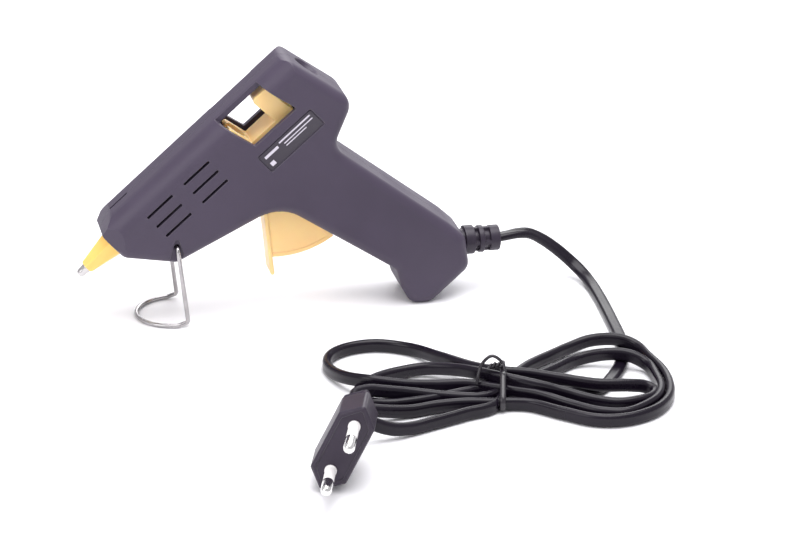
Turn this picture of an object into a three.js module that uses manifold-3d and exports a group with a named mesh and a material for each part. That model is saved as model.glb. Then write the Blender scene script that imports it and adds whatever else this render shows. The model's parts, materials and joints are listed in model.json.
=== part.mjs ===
// Corded mini hot-melt glue gun standing on its wire stand and its heel, with a twin flex
// tied in a hank and a two-pin plug. Millimetres, +Z up, muzzle towards -X, left side at -Y.
// The origin is on the table, under the middle of the gun.
import * as THREE from 'three';
import { mergeVertices } from 'three/addons/utils/BufferGeometryUtils.js';
import { ConvexGeometry } from 'three/addons/geometries/ConvexGeometry.js';
import Module from 'manifold-3d';

const wasm = await Module();
wasm.setup();

// ---- driving dimensions -------------------------------------------------------------------
const GAP = 0.3;                    // clearance between pieces that touch
const FACETS = 16;                  // sides of an ordinary round piece

const TILT = THREE.MathUtils.degToRad(41.5);   // barrel axis above the table
const MUZZLE = { x: -84.2, z: 20.4 };          // tip of the nozzle, start of the barrel axis

const BODY_WIDTH = 25.4;            // housing across its two shells
const WALL = 2.2;
const EDGE_ROUND = 4;               // rounding of the housing's rim
const TOP_ROUND = 8.5;              // large rounding along the barrel's top edges
const BARREL_TOP = 11.4;            // top face above the barrel axis
const NOSE_FACE = 18.2;             // nose face behind the tip
const HALF = BODY_WIDTH / 2;
const INNER = HALF - WALL;          // inside face of a shell's side wall

const WINDOW = { bottom: -5.6, frontLow: 85.3, rearLow: 106.9, lean: 0.27 };
const BAR = { halfWidth: 5.9, bottom: 6.4 };   // bridge over the window
const STICK_INLET = { r: 4.7, mouth: 6.9 };      // bore, and its countersunk mouth
const VENT = { length: 13.2, width: 1.1, starts: [36.2, 55.4], rows: [2.8, -2.5, -7.9] };
const NOSE_PLANES = [               // [x, y, z] on the plane, then its inward normal
  [[26.7, 0, 11.4], [0.34, 0, -0.94]],
  [[27.6, -12.7, 8.5], [0.444, 0.8445, -0.3]],
  [[27.6, 12.7, 8.5], [0.444, -0.8445, -0.3]],
];
const TOP_VENT = { from: 26.6, to: 35.8, width: 1.5 };
const LABEL = { from: 82.6, to: 110.6, low: -18.2, high: -9.4, depth: 0.5, thickness: 0.2 };

const STAND = { s: 35.9, t: -14.5, wire: 0.85, spacing: 28.2, inner: 8.6, kick: 4.6, bend: 2.4 };
const TRIGGER_PIVOT = { s: 85.3, t: -21.3, pin: 1.5, boss: 3.6 };
const TRIGGER = { hub: 4.4, rim: 38.3, rimWall: 1.6, plate: 1.5, halfWidth: 5, arm: 10.6, knob: 2.1 };
const TRIGGER_SLOT = 5.7;           // half-width of the slot the trigger works in

const CHAMBER = { from: 21, to: 62, r: 6.3, bore: 3.8 };
const HEATER = { from: 33, to: 53, halfWidth: 5.2, top: -9.4, bottom: -11.8 };
const FEED_SLEEVE = { from: 62.4, to: 73.6, r: 5.6, bore: 3.9 };
const CARRIAGE = { from: 80.4, to: 105, halfWidth: 6.5, floor: -8.2, deck: -5.9, bore: 4.1, arm: 97 };

const SCREWS = [                    // housing screws: distance along and off the barrel axis
  [45, -16.6], [63, -20.6], [115.2, -17.2], [106, -66], [95, -97],
];
const SCREW = { shank: 1.3, head: 2.5, boss: 4.2, seat: 6.4, deep: -8.6 };

const FLEX = { width: 5.2, thick: 3.2, tube: 1.65 };   // flat twin flex, and a tube as thick
const RELIEF = { z: 21, from: 70.6, to: 85, r: 5.7, endR: 5.1, neck: 4.7, flange: 6.3 };
const CLAMP = { x: 56.5, width: 5, z: 21, halfHeight: 7.8, screwOffset: 5.2, face: 2.9, thick: 2.4 };

// ---- route of the flex, in the standing frame ----------------------------------------------
const LEAD_ROUTE = [
  [85.3, 0, 21], [89.2, 0.1, 21.4], [93.6, 0.8, 21.6], [98.6, 2, 20.6], [105, 3, 16.8],
  [111.6, 2.6, 11.6], [116.8, 0.4, 6.9], [120.2, -5, 3.7], [121.4, -12.5, 2.1], [121.2, -22, 1.7],
  [120, -36, 1.7], [118.6, -49, 1.7], [117, -62.2, 1.7],
];
const TAIL_ROUTE = [
  [41, -115.2, 2.7], [37, -116.6, 2.7], [32, -118.2, 2.7], [26, -120.1, 2.7], [19, -122.3, 2.8],
  [11, -124.2, 4.2], [4.6, -124.9, 7], [-0.6, -125.2, 10.4], [-4, -127, 13.2], [-5.9, -130.2, 14.6],
  [-7.05, -133.7, 15.1],
];
const HANK = { height: 10.4 };
const HANK_OUTLINE = [               // plan of the tied hank, corner by corner, with its radii
  [-3.5, -48.5, 14], [26, -48.5, 20], [60, -87, 8], [84, -62.9, 16], [126, -62.9, 18],
  [126, -135.5, 20], [82, -135.5, 18], [64, -111.6, 5], [54, -119.5, 4], [42, -119.5, 0.8],
  [42, -111.4, 0.8], [2, -111.4, 5], [-3.5, -86, 12],
];
const TIE = { x: 59, y: -99, turn: -15, width: 3, leg: 1.5, reach: 14.6, top: 11.4 };

// Two-pin plug: centre of its face, then how it is turned, in degrees.
const PLUG = { x: -15.4, y: -159.3, z: 17.05, yaw: -108.1, pitch: -4, roll: -25.2 };
const PLUG_BODY = {
  length: 35.3, width: 13.7, tip: 6.3, straight: 15, end: 26.6, endLength: 11, endWidth: 8,
};
const PIN = { r: 2, sleeve: 1.9, length: 19, sleeveLength: 10, spacing: 18.6, tipSpacing: 17.5 };

// ---- small tools ---------------------------------------------------------------------------
function material(color, roughness, metalness = 0) {
  return new THREE.MeshStandardMaterial({ color, roughness, metalness });
}
const shellPlastic = material(0x58505f, 0.62);
const triggerPlastic = material(0xffc46a, 0.5);
const sleeveRubber = material(0xffcf5c, 0.45);
const steel = material(0xa9a6a8, 0.3, 1);
const nickel = material(0xd8d6d4, 0.22, 1);
const aluminium = material(0xb8babd, 0.4, 1);
const ceramic = material(0x3c3a3a, 0.7);
const silicone = material(0xb65a3c, 0.6);
const blackVinyl = material(0x2e2a32, 0.35);
const plugVinyl = material(0x4a434e, 0.5);
const whitePlastic = material(0xeeeae6, 0.4);
const labelFilm = material(0x4d4553, 0.35);
const kapton = material(0xb8842e, 0.4);
const leadBlue = material(0x2f5fa8, 0.45);
const leadBrown = material(0x6b4028, 0.45);

// A closed solid for the boolean cuts, from any closed three.js geometry.
function solid(geometry, matrix) {
  let g = geometry.index ? geometry.toNonIndexed() : geometry.clone();
  g.deleteAttribute('normal');
  g.deleteAttribute('uv');
  if (matrix) g.applyMatrix4(matrix);
  g = mergeVertices(g, 1e-4);
  return new wasm.Manifold(new wasm.Mesh({
    numProp: 3,
    vertProperties: Float32Array.from(g.attributes.position.array),
    triVerts: Uint32Array.from(g.index.array),
  }));
}

function geometryOf(body) {
  const { vertProperties, triVerts } = body.getMesh();
  const g = new THREE.BufferGeometry();
  g.setAttribute('position', new THREE.BufferAttribute(Float32Array.from(vertProperties), 3));
  g.setIndex(new THREE.BufferAttribute(Uint32Array.from(triVerts), 1));
  return g;
}

function piece(name, body, mat) {
  const geometry = body.isBufferGeometry ? body : geometryOf(body);
  const mesh = new THREE.Mesh(geometry, mat);
  mesh.name = name;
  return mesh;
}

const move = (x, y, z) => new THREE.Matrix4().makeTranslation(x, y, z);

// A box given by its lowest and highest corners.
function block([x0, y0, z0], [x1, y1, z1]) {
  const g = new THREE.BoxGeometry(x1 - x0, y1 - y0, z1 - z0);
  return solid(g, move((x0 + x1) / 2, (y0 + y1) / 2, (z0 + z1) / 2));
}

// A round bar along Y.
function barY(x, z, r, y0, y1, sides = FACETS) {
  const g = new THREE.CylinderGeometry(r, r, y1 - y0, sides);
  return solid(g, move(x, (y0 + y1) / 2, z));
}

// A round bar along X, which may taper from r0 to r1.
function barX(x0, x1, r0, r1 = r0, sides = FACETS) {
  const g = new THREE.CylinderGeometry(r1, r0, x1 - x0, sides);
  g.rotateZ(-Math.PI / 2);
  return solid(g, move((x0 + x1) / 2, 0, 0));
}

// Closed outline with each corner [x, y, radius] rounded by a tangent arc, in steps of an
// equal angle.
function roundedShape(corners, stepDegrees = 22) {
  const points = [];
  corners.forEach(([x, y, r], i) => {
    const corner = new THREE.Vector2(x, y);
    const a = new THREE.Vector2(...corners.at(i - 1)).sub(corner).normalize();
    const b = new THREE.Vector2(...corners[(i + 1) % corners.length]).sub(corner).normalize();
    const half = Math.acos(THREE.MathUtils.clamp(a.dot(b), -1, 1)) / 2;
    const middle = a.clone().add(b).normalize();
    const centre = corner.clone().addScaledVector(middle, r / Math.sin(half));
    const turn = Math.PI / 2 - half;
    const facing = Math.atan2(-middle.y, -middle.x);
    const steps = Math.max(1, Math.round((2 * turn) / THREE.MathUtils.degToRad(stepDegrees)));
    const sense = Math.sign(b.cross(a));
    for (let k = 0; k <= steps; k += 1) {
      const angle = facing + sense * turn * ((2 * k) / steps - 1);
      points.push([centre.x + r * Math.cos(angle), centre.y + r * Math.sin(angle)]);
    }
  });
  return polygon(points);
}

function polygon(points) {
  return new THREE.Shape(points.map(([x, y]) => new THREE.Vector2(x, y)));
}

// A shape drawn in the XZ plane, extruded from y0 to y1. Its rims may be rounded, and the
// whole outline may be drawn in by inset.
function prism(shape, y0, y1, { round = 0, inset = 0, steps = 6, rings = 2 } = {}) {
  const g = new THREE.ExtrudeGeometry(shape, {
    depth: y1 - y0 - 2 * round,
    bevelEnabled: round > 0 || inset > 0,
    bevelThickness: round,
    bevelSize: round,
    bevelOffset: -round - inset,
    bevelSegments: round > 0 ? rings : 1,
    curveSegments: steps,
  });
  g.rotateX(Math.PI / 2);
  return solid(g, move(0, y1 - round, 0));
}

// A round wire or a flex along a curve.
function tube(curve, section, steps) {
  return new THREE.ExtrudeGeometry(section, { steps, extrudePath: curve, curveSegments: 2 });
}

function circle(r, sides = 8) {
  const points = [];
  for (let i = 0; i < sides; i += 1) {
    const angle = (2 * Math.PI * (i + 0.5)) / sides;
    points.push([r * Math.cos(angle), r * Math.sin(angle)]);
  }
  return polygon(points);
}

// Straight stretches joined by bends of one radius.
function wirePath(points, bend) {
  const path = new THREE.CurvePath();
  let start = points[0];
  points.slice(1, -1).forEach((corner, i) => {
    const back = start.clone().sub(corner).normalize();
    const on = points[i + 2].clone().sub(corner).normalize();
    const enter = corner.clone().addScaledVector(back, bend);
    const leave = corner.clone().addScaledVector(on, bend);
    path.add(new THREE.LineCurve3(start, enter));
    path.add(new THREE.QuadraticBezierCurve3(enter, corner, leave));
    start = leave;
  });
  path.add(new THREE.LineCurve3(start, points.at(-1)));
  return path;
}

// Place of a point of the barrel frame (s along the axis, t above it) in the standing frame.
function standing(s, t) {
  return {
    x: MUZZLE.x + s * Math.cos(TILT) - t * Math.sin(TILT),
    z: MUZZLE.z + s * Math.sin(TILT) + t * Math.cos(TILT),
  };
}

// ---- housing -------------------------------------------------------------------------------
// Side view in the barrel frame, from the nose over the top and down the handle.
function housingOutline() {
  return roundedShape([
    [NOSE_FACE, BARREL_TOP, 4.6], [117, BARREL_TOP, 5], [124.6, -20.2, 7], [106, -29.3, 7],
    [117.6, -87.6, 7], [118.5, -96.6, 5], [111.4, -107.5, 5], [90.4, -107.6, 7],
    [84.2, -102.1, 5], [86, -94.2, 5], [89.8, -87, 7], [75.2, -32.1, 16],
    [31.2, -20.2, 4.2], [NOSE_FACE, -3.7, 4.2],
  ]);
}

// Cross-section of the barrel with its large top roundings, swept along the axis.
function barrelEnvelope(inset) {
  const w = HALF - inset;
  const top = BARREL_TOP - inset;
  const r = TOP_ROUND - inset;
  const shape = roundedShape([[-w, top, r], [w, top, r], [w, -130, 1], [-w, -130, 1]]);
  const g = new THREE.ExtrudeGeometry(shape, { depth: 140, bevelEnabled: false });
  g.rotateX(Math.PI / 2);
  g.rotateZ(Math.PI / 2);
  return solid(g, move(0, 0, 0));
}

// What lies in front of the nose's bevels: one over the top and one down each side.
function noseCuts(inset) {
  return NOSE_PLANES.map(([point, normal]) => {
    const inward = new THREE.Vector3(...normal).normalize();
    const turned = new THREE.Quaternion().setFromUnitVectors(new THREE.Vector3(0, 0, -1), inward);
    const g = new THREE.BoxGeometry(80, 80, 40).translate(0, 0, 20).applyQuaternion(turned);
    const on = new THREE.Vector3(...point).addScaledVector(inward, inset);
    return solid(g, move(on.x, on.y, on.z));
  });
}

function windowCut() {
  const rise = BARREL_TOP + 2 - WINDOW.bottom;
  const lean = rise * WINDOW.lean;
  const opening = prism(polygon([
    [WINDOW.frontLow, WINDOW.bottom], [WINDOW.rearLow, WINDOW.bottom],
    [WINDOW.rearLow - lean, BARREL_TOP + 2], [WINDOW.frontLow - lean, BARREL_TOP + 2],
  ]), -HALF - 2, HALF + 2);
  const bar = block([70, -BAR.halfWidth, BAR.bottom], [120, BAR.halfWidth, BARREL_TOP + 3]);
  return opening.subtract(bar);
}

function ventCuts() {
  const slots = [];
  for (const start of VENT.starts) {
    for (const row of VENT.rows) {
      const w = VENT.width / 2;
      slots.push(block([start, -HALF - 1, row - w], [start + VENT.length, HALF + 1, row + w]));
    }
  }
  const half = TOP_VENT.width / 2;
  slots.push(block([TOP_VENT.from, -half, 6], [TOP_VENT.to, half, BARREL_TOP + 2]));
  return slots;
}

// Slot under the barrel and down the handle's front, where the trigger moves.
function triggerSlot() {
  return prism(polygon([
    [61.5, -22], [61.5, -44], [78, -61.5], [92, -61.5], [92, -52], [84, -38], [84, -22],
  ]), -TRIGGER_SLOT, TRIGGER_SLOT);
}

// Moulded pocket that opens downwards round the stand's pivot.
function standPockets() {
  const { s, t } = STAND;
  const c = Math.cos(TILT);
  const n = Math.sin(TILT);
  const at = (x, z) => [s + x * c + z * n, t - x * n + z * c];
  const shape = polygon([at(-0.8, 3.2), at(-4.6, -12), at(4.6, -12), at(0.8, 3.2)]);
  const depth = 0.9;
  return [
    prism(shape, -HALF - 1, -HALF + depth),
    prism(shape, HALF - depth, HALF + 1),
  ];
}

// Cut for the strain relief and everything below the table, both square to the table.
function uprightCuts() {
  const upright = new THREE.Matrix4().makeTranslation(MUZZLE.x, 0, MUZZLE.z)
    .multiply(new THREE.Matrix4().makeRotationY(-TILT)).invert();
  const hole = new THREE.CylinderGeometry(RELIEF.neck + GAP, RELIEF.neck + GAP, 16, FACETS);
  hole.rotateZ(Math.PI / 2);
  hole.translate(RELIEF.from, 0, RELIEF.z);
  const table = new THREE.BoxGeometry(200, 60, 20);
  table.translate(60, 0, -10);
  return [solid(hole, upright), solid(table, upright)];
}

// Ribs that carry the melt chamber, the feed sleeve and the carriage, and screw bosses.
function shellRibs(side) {
  const y = (a, b) => [Math.min(side * a, side * b), Math.max(side * a, side * b)];
  const ribs = [];
  const [y0, y1] = y(0, INNER + 1);
  for (const [s, low] of [[26, -12], [57, -12], [68, -8]]) {
    ribs.push(block([s, y0, low], [s + 1.8, y1, BARREL_TOP - 1]));
  }
  ribs.push(block([60.6, y0, -13.6], [62.1, y1, -9]));
  const [g0, g1] = y(CARRIAGE.halfWidth + GAP, INNER + 1);
  ribs.push(block([76, g0, CARRIAGE.floor - 2], [109, g1, CARRIAGE.floor - GAP]));
  for (const [s, t] of SCREWS) ribs.push(barY(s, t, SCREW.boss, y0, y1));
  const [p0, p1] = y(TRIGGER.halfWidth + 0.6, INNER + 1);
  ribs.push(barY(TRIGGER_PIVOT.s, TRIGGER_PIVOT.t, TRIGGER_PIVOT.boss, p0, p1));
  return ribs;
}

// Posts in the left shell for the screws of the cord clamp, a little past the parting plane.
function clampPosts() {
  const posts = [];
  for (const dz of [-CLAMP.screwOffset, CLAMP.screwOffset]) {
    const [s, t] = barrelFrame(CLAMP.x + CLAMP.width / 2, CLAMP.z + dz);
    posts.push(barY(s, t, 2.2, -INNER - 1, CLAMP.face - GAP, 16));
  }
  return posts;
}

// Place of a standing point in the barrel frame.
function barrelFrame(x, z) {
  const dx = x - MUZZLE.x;
  const dz = z - MUZZLE.z;
  return [
    dx * Math.cos(TILT) + dz * Math.sin(TILT),
    -dx * Math.sin(TILT) + dz * Math.cos(TILT),
  ];
}

function shellHoles() {
  const holes = [
    barX(NOSE_FACE - 2, 27, 5.9),                                   // nozzle sleeve
    barX(18, CHAMBER.to + 2, CHAMBER.r + GAP),                      // melt chamber
    barX(CHAMBER.to, 76, FEED_SLEEVE.r + GAP),                      // feed sleeve
    barX(112, 130, STICK_INLET.r),                                  // stick inlet
    barX(118.4, 122, STICK_INLET.r, STICK_INLET.mouth),
    block([HEATER.from - 2, -7.7, -14.6], [HEATER.to + 6.4, 7.7, -4]),
    barY(STAND.s, STAND.t, STAND.wire + GAP, -HALF - 1, HALF + 1, 16),
    barY(TRIGGER_PIVOT.s, TRIGGER_PIVOT.t, TRIGGER_PIVOT.pin + GAP, -9, 9),
  ];
  for (const [s, t] of SCREWS) {
    holes.push(barY(s, t, SCREW.shank + GAP, SCREW.deep - GAP, HALF + 1, 16));
    holes.push(barY(s, t, SCREW.head + GAP, SCREW.seat, HALF + 1, 16));
  }
  return holes;
}

function shell(side) {
  const outline = housingOutline();
  const envelope = barrelEnvelope(0);
  let full = prism(outline, -HALF, HALF, { round: EDGE_ROUND }).intersect(envelope);
  let cavity = prism(outline, -INNER, INNER, { round: 2, inset: WALL, rings: 1 })
    .intersect(barrelEnvelope(WALL));
  for (const cut of noseCuts(0)) full = full.subtract(cut);
  for (const cut of noseCuts(WALL)) cavity = cavity.subtract(cut);
  const y0 = side < 0 ? -HALF - 1 : GAP / 2;
  const y1 = side < 0 ? -GAP / 2 : HALF + 1;
  const halfSpace = block([-10, y0, -150], [160, y1, 50]);

  let body = full.subtract(cavity);
  for (const rib of shellRibs(side)) body = body.add(rib.intersect(full));
  body = body.intersect(halfSpace);
  if (side < 0) {
    for (const post of clampPosts()) body = body.add(post.intersect(full));
  }
  const cuts = [
    windowCut(), triggerSlot(), ...ventCuts(), ...standPockets(), ...shellHoles(), ...uprightCuts(),
  ];
  if (side < 0) cuts.push(labelRecess(), ...clampScrewHoles());
  for (const cut of cuts) body = body.subtract(cut);
  return body;
}

// Blind holes in the clamp's posts.
function clampScrewHoles() {
  return [-CLAMP.screwOffset, CLAMP.screwOffset].map((dz) => {
    const [s, t] = barrelFrame(CLAMP.x + CLAMP.width / 2, CLAMP.z + dz);
    return barY(s, t, 1.1 + GAP, -6, HALF, 12);
  });
}

function labelRecess() {
  return block([LABEL.from, -HALF - 1, LABEL.low], [LABEL.to, -HALF + LABEL.depth, LABEL.high]);
}

function ratingLabel() {
  const edge = 0.5;
  const y0 = -HALF + LABEL.depth - GAP / 2 - LABEL.thickness;
  return block(
    [LABEL.from + edge, y0, LABEL.low + edge],
    [LABEL.to - edge, y0 + LABEL.thickness, LABEL.high - edge],
  );
}

// Pan-head screw along Y, its head towards +Y.
function screwBody({ shank, head, length, headHeight }) {
  const profile = [[0, 0], [shank * 0.4, 0], [shank, 1.4], [shank, length], [head, length],
    [head, length + headHeight * 0.6], [head * 0.7, length + headHeight], [0, length + headHeight]];
  const g = new THREE.LatheGeometry(profile.map(([x, y]) => new THREE.Vector2(x, y)), 10);
  const slot = new THREE.BoxGeometry(head * 1.3, headHeight, 0.7);
  slot.translate(0, length + headHeight, 0);
  const cross = slot.clone().rotateY(Math.PI / 2);
  return solid(g).subtract(solid(slot)).subtract(solid(cross));
}

// ---- nozzle, melt chamber and heater -------------------------------------------------------
function lathedX(profile, sides = FACETS) {
  const g = new THREE.LatheGeometry(profile.map(([x, r]) => new THREE.Vector2(r, x)), sides);
  g.rotateZ(-Math.PI / 2);
  return g;
}

function nozzleTip() {
  const bore = 0.8;
  return lathedX([
    [0, bore], [0, 1.2], [0.6, 1.75], [3.6, 1.9], [3.6, 2.3], [14, 3], [17.4, 3], [17.4, 3.9],
    [CHAMBER.from - GAP, 3.9], [CHAMBER.from - GAP, 1.4], [5, bore], [0, bore],
  ], 20);
}

// Six-sided heat-proof cover over the nozzle.
function nozzleSleeve() {
  const cone = barX(3.9, NOSE_FACE - 0.6, 2.9, 5.5, 6);
  const collar = barX(NOSE_FACE - 0.6, CHAMBER.from - GAP, 5.5, 5.5);
  const bore = solid(lathedX([
    [0, 0], [0, 2.6], [3.6, 2.6], [14, 3.3], [17.1, 3.3], [17.1, 4.2], [30, 4.2], [30, 0],
  ]));
  return cone.add(collar).subtract(bore);
}

function meltChamber() {
  const barrel = barX(CHAMBER.from, CHAMBER.to, CHAMBER.r);
  const pad = block([HEATER.from - 1, -HEATER.halfWidth, HEATER.top + GAP],
    [HEATER.to + 1, HEATER.halfWidth, 0]);
  const bore = barX(CHAMBER.from + 3, CHAMBER.to + 1, CHAMBER.bore);
  const outlet = barX(CHAMBER.from - 1, CHAMBER.from + 4, 1.4, 1.4, 12);
  return barrel.add(pad).subtract(bore).subtract(outlet);
}

function heaterPlate() {
  return block([HEATER.from, -HEATER.halfWidth, HEATER.bottom], [HEATER.to, HEATER.halfWidth, HEATER.top]);
}

function heaterInsulator() {
  return block([HEATER.from - 0.6, -HEATER.halfWidth, HEATER.bottom - GAP - 0.4],
    [HEATER.to + 0.6, HEATER.halfWidth, HEATER.bottom - GAP]);
}

// Spring band that presses the heater against the chamber.
function heaterClamp() {
  const sheet = 0.7;
  const r = CHAMBER.r + GAP;
  const low = HEATER.bottom - 2 * GAP - 0.4;
  const inside = barX(36, 50, r, r).add(block([36, -r, low], [50, r, 0]));
  const outside = barX(38, 48, r + sheet).add(block([38, -r - sheet, low - sheet], [48, r + sheet, 0]));
  return outside.subtract(inside);
}

function feedSleeve() {
  return lathedX([
    [FEED_SLEEVE.from, FEED_SLEEVE.bore], [FEED_SLEEVE.from, FEED_SLEEVE.r],
    [FEED_SLEEVE.to, FEED_SLEEVE.r - 0.8], [FEED_SLEEVE.to, FEED_SLEEVE.bore],
    [FEED_SLEEVE.from, FEED_SLEEVE.bore],
  ]);
}

// ---- feed mechanism ------------------------------------------------------------------------
// Slide under the stick: a deck, a rear block that grips the stick, and a low front wall.
function feedCarriage() {
  const w = CARRIAGE.halfWidth;
  const deck = block([CARRIAGE.from, -w, CARRIAGE.floor], [CARRIAGE.to, w, CARRIAGE.deck]);
  const grip = prism(roundedShape([
    [CARRIAGE.arm, CARRIAGE.floor + 0.5, 0.3], [CARRIAGE.to, CARRIAGE.floor + 0.5, 0.3],
    [CARRIAGE.to - 1.5, 6.6, 1.5], [CARRIAGE.arm - 1.2, 6.6, 1.5],
  ]), -w, w);
  const front = prism(polygon([
    [CARRIAGE.from, CARRIAGE.floor + 0.5], [85, CARRIAGE.floor + 0.5], [82.4, 4], [CARRIAGE.from, 4],
  ]), -w, w);
  const post = 2.1;
  const pocket = TRIGGER.knob + 0.35;
  const lug = (s) => block([s, -3.2, CARRIAGE.floor - 4], [s + post, 3.2, CARRIAGE.floor + 0.5]);
  const bore = barX(CARRIAGE.from - 1, CARRIAGE.to + 1, CARRIAGE.bore);
  const teeth = barX(CARRIAGE.to - 3, CARRIAGE.to + 1, CARRIAGE.bore, CARRIAGE.bore + 1.2);
  return deck.add(grip).add(front)
    .add(lug(TRIGGER_PIVOT.s - pocket - post)).add(lug(TRIGGER_PIVOT.s + pocket))
    .subtract(bore).subtract(teeth);
}

// Trigger, drawn round its pivot and square to the table: finger plate, web, rim and arm.
function triggerBody() {
  const w = TRIGGER.halfWidth;
  const front = (z) => -2.9 - 0.104 * (z + 49.3);
  const plate = prism(roundedShape([
    [front(-14), -14, 0.6], [front(-46.4), -46.4, 0.7],
    [front(-46.4) + TRIGGER.plate, -46.4, 0.7], [front(-14) + TRIGGER.plate, -14, 0.6],
  ]), -w, w, { steps: 3 });
  const rearAngle = THREE.MathUtils.degToRad(-55);
  const frontAngle = THREE.MathUtils.degToRad(-95.5);
  const web = new THREE.Shape();
  web.moveTo(3.4, -2.5);
  web.lineTo(-4.4, -2.5);
  web.lineTo(front(-14) + 1, -14);
  web.absarc(0, 0, TRIGGER.rim, frontAngle, rearAngle, false);
  web.lineTo(17.5, -20);
  web.closePath();
  const sector = prism(web, 0.4 - w, w - 0.4, { steps: 14 });
  const well = new THREE.Shape();
  const inner = TRIGGER.rim - TRIGGER.rimWall;
  well.moveTo(1, -8);
  well.lineTo(-3.6, -14);
  well.absarc(0, 0, inner, THREE.MathUtils.degToRad(-93), rearAngle + 0.06, false);
  well.lineTo(15, -21);
  well.closePath();
  const hollow = prism(well, 1.6 - w, w + 1, { steps: 12 });
  const hub = barY(0, 0, TRIGGER.hub, -w, w);
  const c = Math.cos(TILT);
  const n = Math.sin(TILT);
  const at = (x, z) => [x * c - z * n, x * n + z * c];
  const arm = prism(polygon([at(-2, 1), at(-1.5, TRIGGER.arm), at(1.5, TRIGGER.arm), at(2, 1)]), -2.6, 2.6);
  const knobAt = at(0, TRIGGER.arm);
  const knob = barY(knobAt[0], knobAt[1], TRIGGER.knob, -2.6, 2.6, 16);
  const pinHole = barY(0, 0, TRIGGER_PIVOT.pin + GAP, -HALF, HALF);
  return sector.subtract(hollow).add(plate).add(hub).add(arm).add(knob).subtract(pinHole);
}

function triggerPin() {
  const g = new THREE.CylinderGeometry(TRIGGER_PIVOT.pin, TRIGGER_PIVOT.pin, 17, 16);
  return g;
}

// Compression spring under the carriage's deck, in front of the trigger's arm.
function returnSpring() {
  const turns = 5;
  const from = 62.5;
  const to = TRIGGER_PIVOT.s - TRIGGER.knob - 0.35 - 2.1 - GAP - 0.5;
  class Coil extends THREE.Curve {
    getPoint(u, target = new THREE.Vector3()) {
      const angle = 2 * Math.PI * turns * u;
      return target.set(from + u * (to - from), 2.1 * Math.cos(angle), -11.2 + 1.6 * Math.sin(angle));
    }
  }
  return tube(new Coil(), circle(0.35, 6), 70);
}

// ---- wire stand ----------------------------------------------------------------------------
// One bent wire: two pivot ends, two legs and a half-round foot that lies on the table.
function wireStand() {
  const pivot = standing(STAND.s, STAND.t);
  const y = STAND.spacing / 2;
  const foot = STAND.wire;
  const x0 = pivot.x;
  const toe = 0.6;
  const left = [
    new THREE.Vector3(x0, -STAND.inner, pivot.z), new THREE.Vector3(x0, -y, pivot.z),
    new THREE.Vector3(x0 + STAND.kick, -y, foot), new THREE.Vector3(x0 + toe, -y, foot),
  ];
  const right = left.map((p) => new THREE.Vector3(p.x, -p.y, p.z)).reverse();
  const path = new THREE.CurvePath();
  wirePath(left, STAND.bend * 0.85).curves.forEach((c) => path.add(c));
  class Toe extends THREE.Curve {
    getPoint(u, target = new THREE.Vector3()) {
      const angle = -Math.PI / 2 - Math.PI * u;
      return target.set(x0 + toe + (y + 1.2) * Math.cos(angle), y * Math.sin(angle), foot);
    }
  }
  path.add(new Toe());
  wirePath(right, STAND.bend * 0.85).curves.forEach((c) => path.add(c));
  return tube(path, circle(STAND.wire), 88);
}

// ---- flex, strain relief, clamp and leads --------------------------------------------------
function strainRelief() {
  const { from, to, r, endR, neck, flange } = RELIEF;
  const g = lathedX([
    [from - 8.2, 3.2], [from - 8.2, flange], [from - 6.2, flange], [from - 6.2, neck], [from, neck],
    [from + 0.3, r], [from + 4.3, r - 0.1], [from + 4.5, 4.5], [from + 6.7, 4.4],
    [from + 6.8, r - 0.4], [from + 8.4, r - 0.5], [from + 8.5, 4.2], [from + 10.7, 4.1],
    [from + 10.8, endR], [to - 1, endR], [to, endR - 0.8], [to, 3.2], [from - 8.2, 3.2],
  ], 20);
  const body = solid(g, move(0, 0, RELIEF.z));
  const rib = 1.5;
  const bars = block([from + 1, -5, RELIEF.z - rib / 2], [to - 1, 5, RELIEF.z + rib / 2])
    .add(block([from + 1, -rib / 2, RELIEF.z - 5], [to - 1, rib / 2, RELIEF.z + 5]))
    .subtract(solid(new THREE.CylinderGeometry(3.3, 3.3, 40, FACETS).rotateZ(Math.PI / 2),
      move(from, 0, RELIEF.z)));
  return body.add(bars);
}

function cordInner() {
  const from = CLAMP.x - 4;
  const to = LEAD_ROUTE[0][0] - GAP;
  return block([from, -FLEX.width / 2, RELIEF.z - FLEX.thick / 2 + 0.2],
    [to, FLEX.width / 2, RELIEF.z + FLEX.thick / 2 - 0.2]);
}

function cordClamp() {
  const { x, width, z, halfHeight, screwOffset, face, thick } = CLAMP;
  let plate = prism(roundedShape([
    [x, z - halfHeight, 1], [x + width, z - halfHeight, 1],
    [x + width, z + halfHeight, 1], [x, z + halfHeight, 1],
  ]), face, face + thick, { steps: 3 });
  for (const dz of [-screwOffset, screwOffset]) {
    plate = plate.subtract(barY(x + width / 2, z + dz, 1.1 + GAP, 0, HALF, 12));
  }
  return plate;
}

// One insulated lead from the end of the flex to the heater, on its own side of the trigger.
function leadCurve(side) {
  const { z } = RELIEF;
  const on = (s, t) => {
    const p = standing(s, t);
    return new THREE.Vector3(p.x, side * 8.2, p.z);
  };
  const heater = standing(HEATER.to + 2.4, HEATER.bottom + 1);
  return new THREE.CatmullRomCurve3([
    new THREE.Vector3(CLAMP.x - 4.4, side * 1.3, z), new THREE.Vector3(CLAMP.x - 9, side * 3.4, z + 1),
    on(103, -88), on(97, -66), on(95.5, -40), on(93, -19.5), on(84, -14), on(76, -14),
    on(68, -14.9), on(60.5, -14.9),
    new THREE.Vector3(heater.x, side * 3, heater.z),
  ]);
}

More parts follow.
